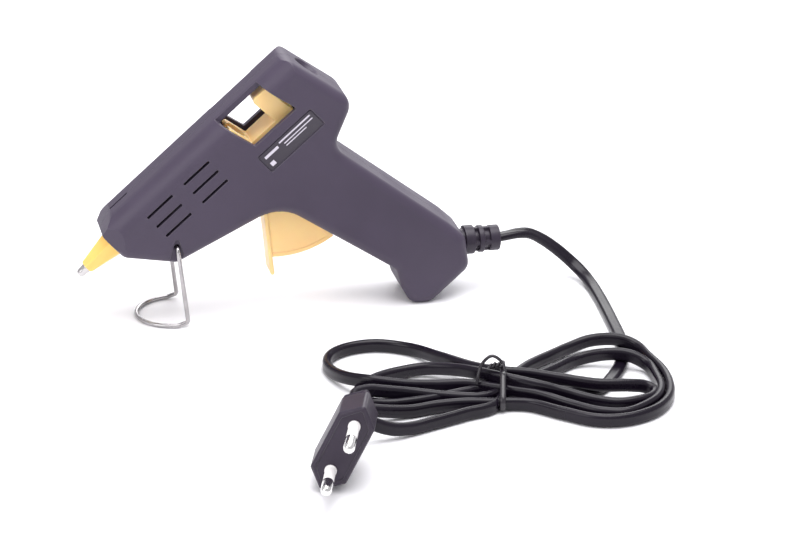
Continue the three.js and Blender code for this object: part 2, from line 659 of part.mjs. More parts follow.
function crimp(curve) {
  const along = curve.getTangentAt(0.36);
  const g = new THREE.LatheGeometry([[1.15, -4], [1.85, -4], [1.85, 4], [1.15, 4], [1.15, -4]]
    .map(([r, h]) => new THREE.Vector2(r, h)), 12);
  g.applyQuaternion(new THREE.Quaternion().setFromUnitVectors(new THREE.Vector3(0, 1, 0), along));
  const p = curve.getPointAt(0.36);
  g.translate(p.x, p.y, p.z);
  return g;
}

// Flex along a route, as a round tube as thick as the flat flex.
function flexTube(route, steps) {
  const points = route.map((p) => new THREE.Vector3(...p));
  const curve = new THREE.CatmullRomCurve3(points, false, 'centripetal');
  return tube(curve, circle(FLEX.tube, 10), steps);
}

// A box across the hank in the tie's own frame, which is turned about the vertical.
function tieBlock([x0, y0, z0], [x1, y1, z1]) {
  const g = new THREE.BoxGeometry(x1 - x0, y1 - y0, z1 - z0);
  g.translate((x0 + x1) / 2, (y0 + y1) / 2, (z0 + z1) / 2);
  const turned = new THREE.Matrix4().makeRotationZ(THREE.MathUtils.degToRad(TIE.turn));
  return solid(g, move(TIE.x, TIE.y, 0).multiply(turned));
}

// The tied hank as one solid of its outer shape, drawn in where the tie goes round it.
function cordHank() {
  const g = new THREE.ExtrudeGeometry(roundedShape(HANK_OUTLINE), {
    depth: HANK.height, bevelEnabled: false, curveSegments: 6,
  });
  const { width, leg, reach, top } = TIE;
  const half = width / 2 + GAP;
  const inside = reach - leg - GAP;
  const waist = tieBlock([-half - 1, -inside, leg + GAP], [half + 1, inside, top - leg - GAP]);
  const groove = tieBlock([-half, -80, -1], [half, 80, 30]).subtract(waist);
  return solid(g).subtract(groove);
}

// Loop of tie wire round the hank, lying on the table.
function cordTie() {
  const { width, leg, reach, top } = TIE;
  return tieBlock([-width / 2, -reach, 0], [width / 2, reach, top])
    .subtract(tieBlock([-width, leg - reach, leg], [width, reach - leg, top - leg]));
}

// ---- plug ----------------------------------------------------------------------------------
// Drawn with its face at x = 0 looking along +X and its long side on Z.
function plugSection(x, length, width) {
  const l = length / 2;
  const w = width / 2;
  const shoulder = l - (PLUG_BODY.tip * length) / PLUG_BODY.length;
  return [[0, l], [w, shoulder], [w, -shoulder], [0, -l], [-w, -shoulder], [-w, shoulder]]
    .map(([y, z]) => new THREE.Vector3(x, y, z));
}

function plugBody() {
  const { length, width, straight, end, endLength, endWidth } = PLUG_BODY;
  const body = solid(new ConvexGeometry([
    ...plugSection(0, length, width), ...plugSection(-straight, length, width),
    ...plugSection(-end, endLength, endWidth),
  ]));
  const holes = [-1, 1].map((side) => {
    const hole = new THREE.CylinderGeometry(PIN.r + GAP, PIN.r + GAP, 8, 12);
    hole.rotateZ(Math.PI / 2);
    return solid(hole, move(0, 0, (side * PIN.spacing) / 2));
  });
  return body.subtract(holes[0]).subtract(holes[1]);
}

// Pin with a rounded tip, seated in the body, drawn along +X from the plug's face.
function plugPin() {
  const { r, length, sleeve, sleeveLength } = PIN;
  const thin = sleeve - 0.5;
  return lathedX([
    [-3.7, 0], [-3.7, r], [0.2, r], [0.2, thin], [sleeveLength + GAP, thin], [sleeveLength + GAP, r],
    [length - 1.4, r], [length - 0.4, r * 0.75], [length, r * 0.3], [length, 0],
  ], 14);
}

// Insulating sleeve on the root of a pin.
function pinSleeve() {
  const { sleeve, sleeveLength } = PIN;
  const bore = sleeve - 0.5 + GAP - 0.05;
  return lathedX([
    [0.5, bore], [0.5, sleeve], [sleeveLength, sleeve], [sleeveLength, bore], [0.5, bore],
  ], 14);
}

function plug() {
  const group = new THREE.Group();
  group.position.set(PLUG.x, PLUG.y, PLUG.z);
  const [roll, pitch, yaw] = [PLUG.roll, PLUG.pitch, PLUG.yaw].map(THREE.MathUtils.degToRad);
  group.rotation.set(roll, pitch, yaw, 'ZYX');
  group.add(piece('plug_body', plugBody(), plugVinyl));
  const splay = Math.atan2((PIN.spacing - PIN.tipSpacing) / 2, PIN.length);
  [-1, 1].forEach((side, i) => {
    for (const part of [
      piece(`plug_pin_${i + 1}`, plugPin(), nickel),
      piece(`pin_sleeve_${i + 1}`, pinSleeve(), whitePlastic),
    ]) {
      part.position.z = (side * PIN.spacing) / 2;
      part.rotation.y = side * splay;
      group.add(part);
    }
  });
  return group;
}

function build() {
  const object = new THREE.Group();
  const gun = new THREE.Group();
  gun.position.set(MUZZLE.x, 0, MUZZLE.z);
  gun.rotation.y = -TILT;
  object.add(gun);

  gun.add(piece('housing_left', shell(-1), shellPlastic));
  gun.add(piece('housing_right', shell(1), shellPlastic));
  gun.add(piece('rating_label', ratingLabel(), labelFilm));
  SCREWS.forEach(([s, t], i) => {
    const length = SCREW.seat + GAP - SCREW.deep;
    const body = screwBody({ shank: SCREW.shank, head: SCREW.head, length, headHeight: 2 });
    const screw = piece(`housing_screw_${i + 1}`, body, steel);
    screw.position.set(s, SCREW.deep, t);
    gun.add(screw);
  });
  gun.add(piece('nozzle_tip', nozzleTip(), nickel));
  gun.add(piece('nozzle_sleeve', nozzleSleeve(), sleeveRubber));
  gun.add(piece('melt_chamber', meltChamber(), aluminium));
  gun.add(piece('heater_plate', heaterPlate(), ceramic));
  gun.add(piece('heater_insulator', heaterInsulator(), kapton));
  gun.add(piece('heater_clamp', heaterClamp(), steel));
  gun.add(piece('feed_sleeve', feedSleeve(), silicone));
  gun.add(piece('feed_carriage', feedCarriage(), triggerPlastic));
  gun.add(piece('return_spring', returnSpring(), steel));

  const pivot = standing(TRIGGER_PIVOT.s, TRIGGER_PIVOT.t);
  const trigger = piece('trigger', triggerBody(), triggerPlastic);
  trigger.position.set(pivot.x, 0, pivot.z);
  object.add(trigger);
  const pin = piece('trigger_pin', triggerPin(), steel);
  pin.position.copy(trigger.position);
  object.add(pin);
  object.add(piece('wire_stand', wireStand(), steel));

  object.add(piece('strain_relief', strainRelief(), blackVinyl));
  object.add(piece('cord_inner', cordInner(), blackVinyl));
  object.add(piece('cord_clamp', cordClamp(), whitePlastic));
  [-1, 1].forEach((side, i) => {
    const body = screwBody({ shank: 1.1, head: 2, length: 11, headHeight: 1.4 });
    const screw = piece(`cord_clamp_screw_${i + 1}`, body, steel);
    const x = CLAMP.x + CLAMP.width / 2;
    screw.position.set(x, CLAMP.face + CLAMP.thick + GAP - 11, CLAMP.z + side * CLAMP.screwOffset);
    object.add(screw);
  });
  [['lead_live', 1, leadBrown, 'crimp_live'], ['lead_neutral', -1, leadBlue, 'crimp_neutral']]
    .forEach(([name, side, mat, sleeve]) => {
      const curve = leadCurve(side);
      object.add(piece(name, tube(curve, circle(0.8, 6), 44), mat));
      object.add(piece(sleeve, crimp(curve), whitePlastic));
    });

  object.add(piece('cord_lead', flexTube(LEAD_ROUTE, 40), blackVinyl));
  object.add(piece('cord_hank', cordHank(), blackVinyl));
  object.add(piece('cord_tie', cordTie(), blackVinyl));
  object.add(piece('cord_tail', flexTube(TAIL_ROUTE, 18), blackVinyl));
  object.add(plug());
  return object;
}

export default build();
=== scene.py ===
"""Corded mini hot-melt glue gun on its wire stand, with its flat flex tied in a hank.

Lengths are in millimetres up to the place where a mesh is made, and metres after it.
The barrel frame has x along the barrel from the muzzle, z above it, and y across.
"""
import json
import math

import bmesh
import bpy
from mathutils import Matrix, Vector


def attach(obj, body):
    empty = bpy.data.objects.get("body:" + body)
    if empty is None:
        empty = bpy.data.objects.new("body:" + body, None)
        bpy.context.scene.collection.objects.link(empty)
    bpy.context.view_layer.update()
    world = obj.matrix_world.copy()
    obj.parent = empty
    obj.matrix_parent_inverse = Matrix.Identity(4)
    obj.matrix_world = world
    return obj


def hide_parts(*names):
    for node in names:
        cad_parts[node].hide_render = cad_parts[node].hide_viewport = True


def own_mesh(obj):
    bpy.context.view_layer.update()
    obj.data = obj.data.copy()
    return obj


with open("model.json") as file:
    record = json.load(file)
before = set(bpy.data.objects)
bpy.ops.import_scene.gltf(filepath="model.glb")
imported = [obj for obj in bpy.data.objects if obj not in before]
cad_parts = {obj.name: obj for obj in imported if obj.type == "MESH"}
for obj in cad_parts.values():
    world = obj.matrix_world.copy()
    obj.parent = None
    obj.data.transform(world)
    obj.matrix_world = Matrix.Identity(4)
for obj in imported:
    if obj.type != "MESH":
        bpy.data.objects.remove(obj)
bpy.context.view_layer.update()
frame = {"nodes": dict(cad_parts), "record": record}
NODES = frame["nodes"]

MM = 0.001
TILT = math.radians(41.5)
MUZZLE = Vector((-84.2, 0.0, 20.4))
HALF = 12.7
WALL = 2.2
INNER = HALF - WALL
BARREL_TOP = 11.4
NOSE_FACE = 18.2

STANDING = Matrix.Scale(MM, 4)
BARREL = STANDING @ Matrix.Translation(MUZZLE) @ Matrix.Rotation(-TILT, 4, "Y")


# ---- camera and light ------------------------------------------------------------------

def make_camera():
    """Camera at the viewing angle of the product shot: from the left, a little above."""
    yaw, pitch, roll = math.radians(14.23), math.radians(23.55), math.radians(0.858)
    level = math.cos(pitch)
    ahead = Vector((math.sin(yaw) * level, math.cos(yaw) * level, -math.sin(pitch)))
    right = Vector((math.cos(yaw), -math.sin(yaw), 0))
    up = right.cross(ahead)
    across = math.cos(roll) * right + math.sin(roll) * up
    upright = math.cos(roll) * up - math.sin(roll) * right
    data = bpy.data.cameras.new("camera")
    data.sensor_width = 36
    data.lens = 117.83
    data.clip_start, data.clip_end = 0.05, 20
    camera = bpy.data.objects.new("camera", data)
    turn = Matrix((across, upright, -ahead)).transposed().to_4x4()
    camera.matrix_world = Matrix.Translation((-0.19272, -0.93487, 0.43203)) @ turn
    bpy.context.scene.collection.objects.link(camera)
    bpy.context.scene.camera = camera


def area_light(name, place, target, size, power, colour=(1, 1, 1)):
    data = bpy.data.lights.new(name, "AREA")
    data.shape = "RECTANGLE"
    data.size, data.size_y = size
    data.energy = power
    data.color = colour
    light = bpy.data.objects.new(name, data)
    light.location = place
    aim = Vector(target) - Vector(place)
    light.rotation_euler = aim.to_track_quat("-Z", "Y").to_euler()
    bpy.context.scene.collection.objects.link(light)


def make_studio():
    """White sweep, a large soft box overhead and weaker fill from both sides."""
    world = bpy.data.worlds.new("studio")
    bpy.context.scene.world = world
    world.use_nodes = True
    world.node_tree.nodes["Background"].inputs["Color"].default_value = (0.97, 0.965, 1.0, 1)
    world.node_tree.nodes["Background"].inputs["Strength"].default_value = 0.66
    centre = (0.01, -0.04, 0.03)
    area_light("overhead", (0.1, -0.1, 0.9), centre, (0.9, 0.7), 10.5, (1, 0.99, 1))
    area_light("left_fill", (-0.8, -0.6, 0.55), centre, (0.6, 0.6), 3.2)
    area_light("rear_rim", (0.35, 0.8, 0.55), centre, (0.7, 0.4), 3.4)
    mesh = bpy.data.meshes.new("floor")
    reach = 3.0
    mesh.from_pydata(
        [(-reach, -reach, 0), (reach, -reach, 0), (reach, reach, 0), (-reach, reach, 0)],
        [], [(0, 1, 2, 3)])
    floor = bpy.data.objects.new("floor", mesh)
    floor.location.z = -0.0001
    bpy.context.scene.collection.objects.link(floor)
    paper = surface("floor_paper", (0.93, 0.925, 0.945), 0.6, vary=0.01, grain=(900, 0.02))
    floor.data.materials.append(paper)
    bpy.context.scene.view_settings.view_transform = "Standard"


# ---- materials -------------------------------------------------------------------------

def surface(name, colour, rough, metal=0.0, vary=0.08, blotch=55, grain=(2600, 0.15),
            wear=0.0, rounding=0.0, specular=0.5, glow=0.0, sheath=None):
    """Principled material with blotches, grain, uneven gloss and worn, softened edges.

    grain is (scale per metre, bump strength); sheath adds a second bump noise of that scale per
    metre.
    """
    mat = bpy.data.materials.new(name)
    mat.use_nodes = True
    tree = mat.node_tree
    tree.nodes.clear()
    add, link = tree.nodes.new, tree.links.new
    out = add("ShaderNodeOutputMaterial")
    bsdf = add("ShaderNodeBsdfPrincipled")
    link(bsdf.outputs["BSDF"], out.inputs["Surface"])
    bsdf.inputs["Metallic"].default_value = metal
    bsdf.inputs["Specular IOR Level"].default_value = specular
    if glow:
        bsdf.inputs["Subsurface Weight"].default_value = glow
        bsdf.inputs["Subsurface Radius"].default_value = (1.0, 0.55, 0.2)
        bsdf.inputs["Subsurface Scale"].default_value = 0.003

    place = add("ShaderNodeTexCoord")
    cloud = add("ShaderNodeTexNoise")
    cloud.inputs["Scale"].default_value = blotch
    cloud.inputs["Detail"].default_value = 5
    link(place.outputs["Object"], cloud.inputs["Vector"])
    ramp = add("ShaderNodeValToRGB")
    ramp.color_ramp.elements[0].position = 0.35
    ramp.color_ramp.elements[1].position = 0.68
    ramp.color_ramp.elements[0].color = [c * (1 - vary) for c in colour] + [1]
    ramp.color_ramp.elements[1].color = [min(1, c * (1 + vary)) for c in colour] + [1]
    link(cloud.outputs["Fac"], ramp.inputs["Fac"])
    tint = ramp.outputs["Color"]

    fine = add("ShaderNodeTexNoise")
    fine.inputs["Scale"].default_value = grain[0]
    fine.inputs["Detail"].default_value = 3
    link(place.outputs["Object"], fine.inputs["Vector"])

    gloss = add("ShaderNodeMapRange")
    gloss.inputs["From Min"].default_value = 0.3
    gloss.inputs["From Max"].default_value = 0.7
    gloss.inputs["To Min"].default_value = max(0.03, rough - 0.05)
    gloss.inputs["To Max"].default_value = min(1, rough + 0.07)
    link(cloud.outputs["Fac"], gloss.inputs["Value"])
    link(gloss.outputs["Result"], bsdf.inputs["Roughness"])

    bump = add("ShaderNodeBump")
    bump.inputs["Strength"].default_value = grain[1]
    bump.inputs["Distance"].default_value = 0.0001
    height = fine.outputs["Fac"]
    if sheath:
        marks = add("ShaderNodeTexNoise")
        marks.inputs["Scale"].default_value = sheath
        marks.inputs["Detail"].default_value = 2
        link(place.outputs["Object"], marks.inputs["Vector"])
        both = add("ShaderNodeMath")
        both.operation = "ADD"
        link(height, both.inputs[0])
        link(marks.outputs["Fac"], both.inputs[1])
        height = both.outputs["Value"]
    link(height, bump.inputs["Height"])
    if rounding:
        soft = add("ShaderNodeBevel")
        soft.samples = 6
        soft.inputs["Radius"].default_value = rounding * MM
        link(soft.outputs["Normal"], bump.inputs["Normal"])
        if wear:
            flat = add("ShaderNodeNewGeometry")
            dot = add("ShaderNodeVectorMath")
            dot.operation = "DOT_PRODUCT"
            link(soft.outputs["Normal"], dot.inputs[0])
            link(flat.outputs["Normal"], dot.inputs[1])
            edge = add("ShaderNodeMapRange")
            edge.inputs["From Min"].default_value = 0.995
            edge.inputs["From Max"].default_value = 0.8
            link(dot.outputs["Value"], edge.inputs["Value"])
            rubbed = add("ShaderNodeMath")
            rubbed.operation = "MULTIPLY"
            link(edge.outputs["Result"], rubbed.inputs[0])
            link(cloud.outputs["Fac"], rubbed.inputs[1])
            mix = add("ShaderNodeMix")
            mix.data_type = "RGBA"
            link(rubbed.outputs["Value"], mix.inputs["Factor"])
            link(tint, mix.inputs["A"])
            mix.inputs["B"].default_value = [c + wear * (1 - c) for c in colour] + [1]
            tint = mix.outputs["Result"]
    link(tint, bsdf.inputs["Base Color"])
    link(bump.outputs["Normal"], bsdf.inputs["Normal"])
    return mat


def make_materials():
    return {
        "shell_plastic": surface("shell_plastic", (0.056, 0.043, 0.071), 0.45, vary=0.05,
                                 grain=(2400, 0.35), wear=0.16, rounding=0.4, specular=0.38),
        "label_film": surface("label_film", (0.034, 0.027, 0.041), 0.3, grain=(1500, 0.05)),
        "label_print": surface("label_print", (0.62, 0.58, 0.66), 0.4, vary=0.15),
        "zinc_screw": surface("zinc_screw", (0.5, 0.48, 0.46), 0.35, 1.0, grain=(3500, 0.2)),
        "tip_metal": surface("tip_metal", (0.62, 0.6, 0.6), 0.26, 1.0, vary=0.12,
                             grain=(1800, 0.08), wear=0.3, rounding=0.15),
        "sleeve_rubber": surface("sleeve_rubber", (1.0, 0.62, 0.16), 0.34, vary=0.05,
                                 grain=(1500, 0.06), rounding=0.35, glow=0.25),
        "cast_aluminium": surface("cast_aluminium", (0.5, 0.51, 0.53), 0.45, 1.0, grain=(900, 0.4)),
        "heater_ceramic": surface("heater_ceramic", (0.06, 0.055, 0.055), 0.7),
        "insulator_film": surface("insulator_film", (0.45, 0.22, 0.03), 0.3),
        "spring_steel": surface("spring_steel", (0.42, 0.41, 0.4), 0.3, 1.0),
        "feed_rubber": surface("feed_rubber", (0.46, 0.11, 0.05), 0.6),
        "trigger_plastic": surface("trigger_plastic", (1.0, 0.66, 0.29), 0.34, vary=0.04,
                                   grain=(1300, 0.05), wear=0.25, rounding=0.3, glow=0.35),
        "wire_steel": surface("wire_steel", (0.42, 0.405, 0.41), 0.24, 1.0, vary=0.15,
                              blotch=160, grain=(2400, 0.12)),
        "relief_vinyl": surface("relief_vinyl", (0.026, 0.019, 0.033), 0.38, grain=(1700, 0.12),
                                specular=0.36, rounding=0.25),
        "cord_vinyl": surface("cord_vinyl", (0.007, 0.0045, 0.010), 0.25, vary=0.2, blotch=30,
                              grain=(1400, 0.03), specular=0.27, sheath=300),
        "tie_plastic": surface("tie_plastic", (0.02, 0.017, 0.022), 0.18, grain=(1200, 0.1)),
        "clamp_plastic": surface("clamp_plastic", (0.82, 0.8, 0.78), 0.5),
        "lead_brown": surface("lead_brown", (0.14, 0.05, 0.02), 0.4),
        "lead_blue": surface("lead_blue", (0.03, 0.1, 0.38), 0.4),
        "crimp_tin": surface("crimp_tin", (0.6, 0.58, 0.55), 0.3, 1.0),
        "plug_vinyl": surface("plug_vinyl", (0.026, 0.018, 0.033), 0.38, vary=0.08, specular=0.36,
                              grain=(1500, 0.14), wear=0.1, rounding=0.5),
        "pin_nickel": surface("pin_nickel", (0.78, 0.77, 0.76), 0.12, 1.0, grain=(2500, 0.05)),
        "pin_sleeve_plastic": surface("pin_sleeve_plastic", (0.86, 0.84, 0.83), 0.35,
                                      grain=(1500, 0.05), rounding=0.2),
    }


# ---- mesh tools ------------------------------------------------------------------------

def mesh_object(name, points, faces):
    """New linked object from points and faces."""
    mesh = bpy.data.meshes.new(name)
    mesh.from_pydata([tuple(p) for p in points], [], faces)
    mesh.validate()
    made = bpy.data.objects.new(name, mesh)
    bpy.context.scene.collection.objects.link(made)
    return made


def loft(name, rings, closed=False):
    """Skin over rings with the same number of points; the ends are capped unless closed."""
    count = len(rings[0])
    points = [p for ring in rings for p in ring]
    faces = []
    spans = len(rings) if closed else len(rings) - 1
    for i in range(spans):
        j = (i + 1) % len(rings)
        for k in range(count):
            m = (k + 1) % count
            faces.append((i * count + k, i * count + m, j * count + m, j * count + k))
    if not closed:
        faces.append(tuple(range(count))[::-1])
        faces.append(tuple(range((len(rings) - 1) * count, len(rings) * count)))
    made = mesh_object(name, points, faces)
    face_outwards(made)
    return made


def face_outwards(made):
    """Turns every face of a closed mesh outwards."""
    work = bmesh.new()
    work.from_mesh(made.data)
    bmesh.ops.recalc_face_normals(work, faces=work.faces)
    work.to_mesh(made.data)
    work.free()


def rounded(corners, step=9):
    """Closed outline whose corners (x, z, radius) are rounded by tangent arcs."""
    points = []
    for i, (x, z, radius) in enumerate(corners):
        corner = Vector((x, z))
        before = (Vector(corners[i - 1][:2]) - corner).normalized()
        after = (Vector(corners[(i + 1) % len(corners)][:2]) - corner).normalized()
        half = math.acos(max(-1, min(1, before.dot(after)))) / 2
        middle = (before + after).normalized()
        centre = corner + middle * (radius / math.sin(half))
        turn = math.pi / 2 - half
        facing = math.atan2(-middle.y, -middle.x)
        steps = max(2, round(2 * math.degrees(turn) / step))
        sense = math.copysign(1, after.x * before.y - after.y * before.x)
        for k in range(steps + 1):
            angle = facing + sense * turn * (2 * k / steps - 1)
            points.append((centre.x + radius * math.cos(angle),
                           centre.y + radius * math.sin(angle)))
    return points


def inset_outline(points, inset):
    """Outline drawn in by a distance, corner by corner along its mitre."""
    area = sum(a[0] * b[1] - b[0] * a[1] for a, b in zip(points, points[1:] + points[:1]))
    side = 1 if area > 0 else -1
    drawn = []
    for i, point in enumerate(points):
        here = Vector(point)
        into = (here - Vector(points[i - 1])).normalized()
        away = (Vector(points[(i + 1) % len(points)]) - here).normalized()
        n1 = Vector((-into.y, into.x)) * side
        n2 = Vector((-away.y, away.x)) * side
        mitre = (n1 + n2).normalized()
        drawn.append(here + mitre * (inset / max(0.4, mitre.dot(n1))))
    return drawn


def prism(name, outline, y0, y1, rim=0.0, inset=0.0, rings=6):
    """Outline in the XZ plane, extruded from y0 to y1 with round rims."""
    if rim:
        levels = [(y0 + rim - rim * math.cos(math.pi / 2 * k / rings),
                   rim - rim * math.sin(math.pi / 2 * k / rings)) for k in range(rings + 1)]
    else:
        levels = [(y0, 0.0)]
    other = [(y0 + y1 - y, draw) for y, draw in reversed(levels)]
    sections = []
    for y, draw in levels + other:
        drawn = inset_outline(outline, inset + draw) if inset + draw else outline
        sections.append([(p[0], y, p[1]) for p in drawn])
    return loft(name, sections)


def block(low, high, name="block"):
    """Box given by its lowest and highest corners."""
    (x0, y0, z0), (x1, y1, z1) = low, high
    return loft(name, [[(x, y0, z0), (x, y1, z0), (x, y1, z1), (x, y0, z1)] for x in (x0, x1)])


def bar_y(x, z, radius, y0, y1, sides=40):
    """Round bar along Y."""
    angles = [2 * math.pi * k / sides for k in range(sides)]
    ring = [(x + radius * math.cos(a), z + radius * math.sin(a)) for a in angles]
    return loft("bar", [[(px, y, pz) for px, pz in ring] for y in (y0, y1)])


def lathe(name, profile, sides=48, z=0.0):
    """Closed profile of (x, radius) turned round the X axis; radius 0 closes an end."""
    solid_ends = profile[0][1] == 0
    stations = [p for p in profile if p[1] > 0] if solid_ends else profile
    rings = []
    for x, radius in stations:
        rings.append([(x, radius * math.cos(2 * math.pi * k / sides),
                       z + radius * math.sin(2 * math.pi * k / sides)) for k in range(sides)])
    return loft(name, rings, closed=not solid_ends)


def combine(base, tools, operation):
    """Boolean of base with each tool in turn; the tools are used up."""
    for tool in tools:
        step = base.modifiers.new("step", "BOOLEAN")
        step.operation = operation
        step.solver = "MANIFOLD"
        step.object = tool
        settle(base)
        bpy.data.objects.remove(tool)
    return base


def duplicate(made):
    """Second object with its own copy of a mesh."""
    copy = made.copy()
    copy.data = made.data.copy()
    bpy.context.scene.collection.objects.link(copy)
    return copy


def settle(made):
    """Applies an object's modifiers to its mesh."""
    graph = bpy.context.evaluated_depsgraph_get()
    mesh = bpy.data.meshes.new_from_object(made.evaluated_get(graph))
    made.modifiers.clear()
    made.data = mesh


def polish(made, name, place, slot, body, replaced=(), crease=32, weighted=True):
    """Names, places and shades a finished piece, and puts it on its body."""
    made.name = name
    made.data.name = name
    made.data.transform(place)
    work = bmesh.new()
    work.from_mesh(made.data)
    bmesh.ops.remove_doubles(work, verts=work.verts, dist=2e-6)
    bmesh.ops.dissolve_degenerate(work, dist=2e-6, edges=work.edges)
    bmesh.ops.recalc_face_normals(work, faces=work.faces)
    limit = math.radians(crease)
    for face in work.faces:
        face.smooth = True
    for edge in work.edges:
        edge.smooth = len(edge.link_faces) == 2 and edge.calc_face_angle(0) < limit
    work.to_mesh(made.data)
    work.free()
    if weighted:
        even = made.modifiers.new("even", "WEIGHTED_NORMAL")
        even.keep_sharp = True
        settle(made)
    made.data.materials.clear()
    made.data.materials.append(MATERIALS[slot])
    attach(made, body)
    if replaced:
        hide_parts(*replaced)
    return made


def smooth_line(points, spacing):
    """Centripetal Catmull-Rom line through points, resampled at an even spacing."""
    pts = [Vector(p) for p in points]
    pts = [2 * pts[0] - pts[1]] + pts + [2 * pts[-1] - pts[-2]]
    dense = []
    for p0, p1, p2, p3 in zip(pts, pts[1:], pts[2:], pts[3:]):
        t1 = (p1 - p0).length ** 0.5
        t2 = t1 + (p2 - p1).length ** 0.5
        t3 = t2 + (p3 - p2).length ** 0.5
        for k in range(24):
            t = t1 + (t2 - t1) * k / 24
            a1 = (t1 - t) / t1 * p0 + t / t1 * p1
            a2 = (t2 - t) / (t2 - t1) * p1 + (t - t1) / (t2 - t1) * p2
            a3 = (t3 - t) / (t3 - t2) * p2 + (t - t2) / (t3 - t2) * p3
            b1 = (t2 - t) / t2 * a1 + t / t2 * a2
            b2 = (t3 - t) / (t3 - t1) * a2 + (t - t1) / (t3 - t1) * a3
            dense.append((t2 - t) / (t2 - t1) * b1 + (t - t1) / (t2 - t1) * b2)
    dense.append(pts[-2])
    return resample(dense, spacing)


def resample(dense, spacing):
    """Points at an even spacing along a line of closely spaced points."""
    total = sum((b - a).length for a, b in zip(dense, dense[1:]))
    count = max(2, round(total / spacing))
    line, reached, i = [dense[0]], 0.0, 0
    for k in range(1, count):
        wanted = total * k / count
        while reached + (dense[i + 1] - dense[i]).length < wanted:
            reached += (dense[i + 1] - dense[i]).length
            i += 1
        share = (wanted - reached) / (dense[i + 1] - dense[i]).length
        line.append(dense[i].lerp(dense[i + 1], share))
    return line + [dense[-1]]


def sweep(name, line, section, turn=lambda share: 0.0, closed=False):
    """Section (across, up) carried along a line; turn gives its roll in radians."""
    rings = []
    for i, here in enumerate(line):
        before = line[i - 1] if i or closed else here
        after = line[(i + 1) % len(line)] if i < len(line) - 1 or closed else here
        along = (after - before).normalized()
        side = along.cross(Vector((0, 0, 1)))
        side = side.normalized() if side.length > 0.05 else Vector((0, 1, 0))
        up = side.cross(along)
        angle = turn(i / (len(line) - 1))
        c, s = math.cos(angle), math.sin(angle)
        rings.append([here + (a * c - b * s) * side + (a * s + b * c) * up for a, b in section])
    return loft(name, rings, closed=closed)


def transported(name, line, radius, sides=14, closed=False):
    """Round wire along a line, with its rings carried on without twist."""
    rings = []
    side = None
    for i, here in enumerate(line):
        before = line[i - 1] if i or closed else here
        after = line[(i + 1) % len(line)] if i < len(line) - 1 or closed else here
        along = (after - before).normalized()
        if side is None:
            side = along.orthogonal().normalized()
        side = (side - along * side.dot(along)).normalized()
        up = along.cross(side)
        rings.append([here + radius * (math.cos(2 * math.pi * k / sides) * side
                                       + math.sin(2 * math.pi * k / sides) * up)
                      for k in range(sides)])
    return loft(name, rings, closed=closed)


# ---- flex ------------------------------------------------------------------------------
FLEX_WIDTH, FLEX_THICK = 5.2, 3.2
LOW, HIGH = 2.65, 7.85               # centre of a strand on edge, on the table and on another

